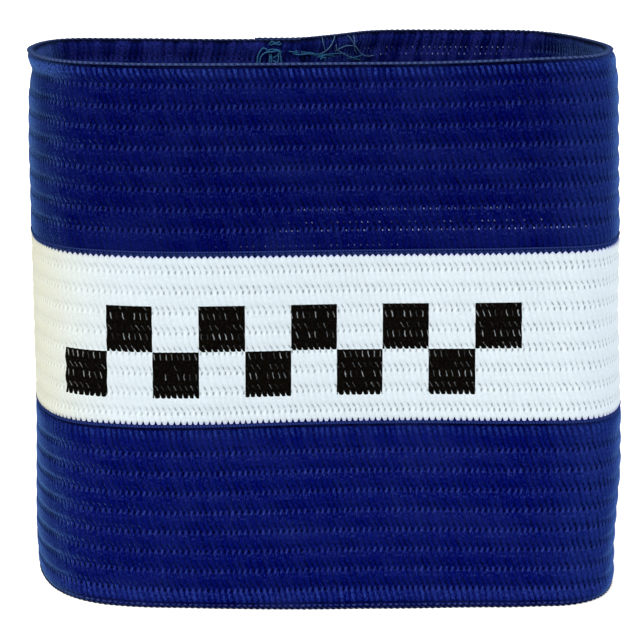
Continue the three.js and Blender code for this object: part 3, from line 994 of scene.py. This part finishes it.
# Rolled rims, and the cords that run beside the stripe on both faces
for edge_name, edge_z, outs, radii, bulge, sides, steps, edge_look in (
        ("top_rim", HEIGHT - 0.10, (0.0,), (0.52, 0.18), 0.24, 10, 5, rim),
        ("bottom_rim", 0.22, (0.0,), (0.52, 0.18), 0.24, 10, 5, shadowed_base_rim),
        ("upper_border_cord", 53.33, (0.58, -0.58), (0.13, 0.13), 0.0, 6, 2, pale_cord),
        ("lower_border_cord", 28.04, (0.48, -0.48), (0.21, 0.21), 0.0, 6, 2, dark_cord)):
    points, faces, maps = skin([edge_roll(edge_z, out, *radii, bulge, sides, steps)
                                for out in outs])
    new_piece(edge_name, points, faces, edge_look, maps)

# The seam's threads near the top of the lap, in millimetres as the route is: thick loops, a
# bundle lying over the inner cut end, and loose ends that hang from the rear layer's rim
LOOPS = [
    [(-9.66, 32.96, 76.2), (-9.5, 32.82, 77.58), (-8.88, 32.83, 78.65), (-8.27, 32.93, 78.64),
     (-7.66, 33.2, 78.01)],
    [(-9.28, 32.99, 76.2), (-9.04, 32.87, 77.42), (-8.42, 32.87, 78.03), (-7.35, 32.96, 78.18),
     (-6.44, 33.1, 78.32), (-6.06, 33.18, 77.69), (-5.91, 33.29, 76.2)],
    [(-7.83, 33.22, 76.2), (-7.67, 33.09, 77.24), (-7.74, 33.3, 77.77)],
    [(-7.44, 33.26, 76.2), (-7.44, 33.16, 77.24), (-7.51, 33.3, 77.76)],
    [(-6.52, 33.34, 76.2), (-6.36, 33.15, 77.24), (-6.44, 33.4, 77.91)],
    [(-8.28, 33.25, 78.23), (-7.35, 33.11, 78.54), (-6.28, 33.21, 78.38), (-5.83, 33.5, 77.98)],
    [(-7.81, 33.3, 79.3), (-7.35, 33.06, 79.77), (-6.89, 33.16, 79.53), (-6.13, 33.4, 79.67)],
    [(-7.66, 33.35, 79.15), (-7.05, 33.14, 79.38), (-6.28, 33.26, 79.25), (-5.98, 33.5, 79.4)],
    [(-0.16, 38.1, 75.8), (0.16, 38.03, 76.59), (0.5, 38.31, 76.78), (0.78, 38.63, 76.49),
     (1.01, 39.3, 75.8)],
]
BUNDLE = [
    [(-4.76, 33.6, 78.2), (-3.53, 33.5, 78.04), (-2.62, 35.3, 77.73), (-0.77, 37.28, 77.23),
     (1.25, 39.23, 76.96), (3.45, 41.9, 76.37)],
    [(-4.14, 33.6, 77.84), (-3.07, 33.54, 77.69), (-1.7, 36.2, 77.56), (0.0, 37.93, 77.31),
     (1.56, 39.8, 77.08)],
    [(-3.68, 33.7, 78.26), (-2.16, 35.8, 77.82), (-1.08, 36.93, 77.58), (0.31, 38.28, 76.84),
     (2.19, 40.5, 76.39)],
    [(-1.86, 36.8, 77.15), (-0.31, 37.73, 76.87), (0.93, 38.78, 77.13), (2.81, 40.74, 77.11),
     (4.72, 43.3, 76.68)],
    [(3.77, 42.2, 76.21), (4.88, 43.05, 76.18), (6.0, 44.19, 76.29), (6.64, 45.2, 76.44)],
    [(4.72, 43.3, 75.78), (5.52, 43.77, 75.94), (6.32, 44.8, 75.7)],
]
LOOSE_ENDS = [
    [(0.34, 38.46, 79.85), (0.42, 38.23, 79.33), (0.62, 38.33, 78.55), (0.73, 38.74, 77.91)],
    [(2.26, 40.4, 79.95), (2.24, 40.0, 79.62), (1.87, 39.53, 78.81), (1.17, 38.85, 77.95),
     (0.09, 38.02, 77.4), (-1.24, 37.3, 77.21)],
    [(2.5, 40.7, 78.94), (2.53, 40.32, 78.34), (2.66, 40.56, 77.69), (3.6, 41.52, 77.04),
     (4.24, 42.24, 76.58), (5.2, 43.8, 76.3)],
    [(2.34, 40.6, 77.47), (3.13, 40.99, 77.9), (4.08, 41.95, 78.17), (5.03, 43.02, 78.1),
     (5.67, 44.0, 77.83)],
    [(4.31, 42.7, 79.76), (4.87, 42.84, 79.18), (5.43, 43.27, 78.2), (5.99, 43.78, 77.44),
     (6.63, 44.56, 76.65), (7.44, 45.38, 76.21), (8.57, 46.8, 76.15)],
    [(5.29, 43.8, 79.66), (5.44, 43.38, 78.81), (5.38, 43.42, 77.87), (5.71, 44.1, 76.79)],
]

# A narrow zigzag holds the lap, inside and at the back: its two edges along the strip, its
# lowest and highest stitch, half the height of one zigzag, how far it sinks into the wall at a turn
# and how far it stands off between two turns
ZIGZAG_INSIDE = (3.45, 4.75)
ZIGZAG_BEHIND = (LENGTH - 3.6, LENGTH - 2.3)
ZIGZAG_SPAN = (1.4, 78.4)
ZIGZAG_STEP = 0.72
ZIGZAG_SINK = 0.05
ZIGZAG_STAND = 0.13


def half_at(z):
    """Half the wall's thickness at a height: thin in the grooves, thick on the ribs."""
    section = ([name for name in FIRST_GROOVE if FIRST_GROOVE[name] <= z + RIB_PITCH / 2]
               or ["lower"])[-1]
    turn = math.pi * (z - FIRST_GROOVE[section]) / SECTION_PITCH[section]
    return 0.60 + 0.20 * math.sin(turn) ** 2


def zigzag(edges, side):
    """The zigzag's points on one face of the wall, sunk into it at every turn."""
    points = []
    for i, z in enumerate(np.arange(*ZIGZAG_SPAN, ZIGZAG_STEP)):
        points.append(wall_mm(edges[i % 2], side * (half_at(z) - ZIGZAG_SINK), z))
        z += ZIGZAG_STEP / 2
        points.append(wall_mm(sum(edges) / 2, side * (half_at(z) + ZIGZAG_STAND), z))
    return points[:-1]


for thread_name, lines, radius, thread_look in (
        ("seam_loops", LOOPS, 0.105, teal), ("seam_bundle", BUNDLE, 0.085, teal),
        ("seam_loose_ends", LOOSE_ENDS, 0.065, pale_teal),
        ("seam_zigzag", [zigzag(ZIGZAG_INSIDE, -1), zigzag(ZIGZAG_BEHIND, 1)], 0.10, teal)):
    points, faces, maps = skin([thread_tube(line, radius) for line in lines])
    new_piece(thread_name, points - MIDDLE, faces, thread_look, maps)


# The camera stands in front and looks down a little; its distance and aim are in millimetres
CAMERA_PITCH = math.radians(12.2)
DISTANCE = 352.0
AIM_HEIGHT = 43.3
LENS = 138.4
WARM_SIDE = (1.0, 0.78, 0.05)


def make_camera():
    """The camera, in front of the loop's middle."""
    data = bpy.data.cameras.new("camera")
    data.lens = LENS
    data.sensor_width = 36.0
    camera = add_object("camera", data)
    camera.location = Vector((-MIDDLE[0], -DISTANCE * math.cos(CAMERA_PITCH) - MIDDLE[1],
                              AIM_HEIGHT + DISTANCE * math.sin(CAMERA_PITCH))) * MM
    camera.rotation_euler = (math.pi / 2 - CAMERA_PITCH, 0, 0)
    bpy.context.scene.camera = camera


def make_floor():
    """A wide floor that isn't part of the armband."""
    size = 4.0
    mesh = bpy.data.meshes.new("floor")
    mesh.from_pydata([(-size, -size, 0), (size, -size, 0), (size, size, 0), (-size, size, 0)],
                     [], [(0, 1, 2, 3)])
    mesh.materials.append(floor_material())
    add_object("floor", mesh)


def make_light(name, kind, place, strength, softness, colour):
    """A sun or a round soft box at a place, turned to the object's middle.

    softness is the sun's angle in degrees, or the box's width in metres.
    """
    data = bpy.data.lights.new(name, kind)
    data.energy = strength
    data.color = colour
    if kind == "SUN":
        data.angle = math.radians(softness)
    else:
        data.shape = "DISK"
        data.size = softness
    light = add_object(name, data)
    light.location = place
    aim = Vector((0, 0, HEIGHT * MM / 2)) - Vector(place)
    light.rotation_euler = aim.to_track_quat("-Z", "Y").to_euler()


def make_world(strength):
    """Even white light all round, warmer from the left."""
    world = bpy.data.worlds.new("studio")
    world.use_nodes = True
    nodes = Nodes(world.node_tree)
    direction = nodes.node("TexCoord").outputs["Generated"]
    across = nodes.node("SeparateXYZ", {0: direction}).outputs[0]
    warmth = nodes.node("MapRange", {"Value": across, "From Min": 0.0, "From Max": -0.7})
    colours = {"Factor": warmth.outputs[0], 6: (1, 1, 1), 7: WARM_SIDE}
    blend = nodes.node("Mix", colours, data_type="RGBA")
    background = world.node_tree.nodes["Background"]
    nodes.put(background.inputs["Strength"], strength)
    nodes.put(background.inputs["Color"], blend.outputs[2])
    bpy.context.scene.world = world


make_camera()
make_floor()
make_world(0.42)
make_light("key", "SUN", (-0.3, -0.8, 1.1), 2.8, 50, (1, 1, 1))
make_light("left fill", "AREA", (-0.8, 0.15, 0.35), 0.6, 0.5, (1.0, 0.72, 0.05))
make_light("right fill", "AREA", (0.75, 0.5, 0.35), 4.4, 0.5, (0.98, 0.95, 0.90))
bpy.context.scene.view_settings.view_transform = "Standard"
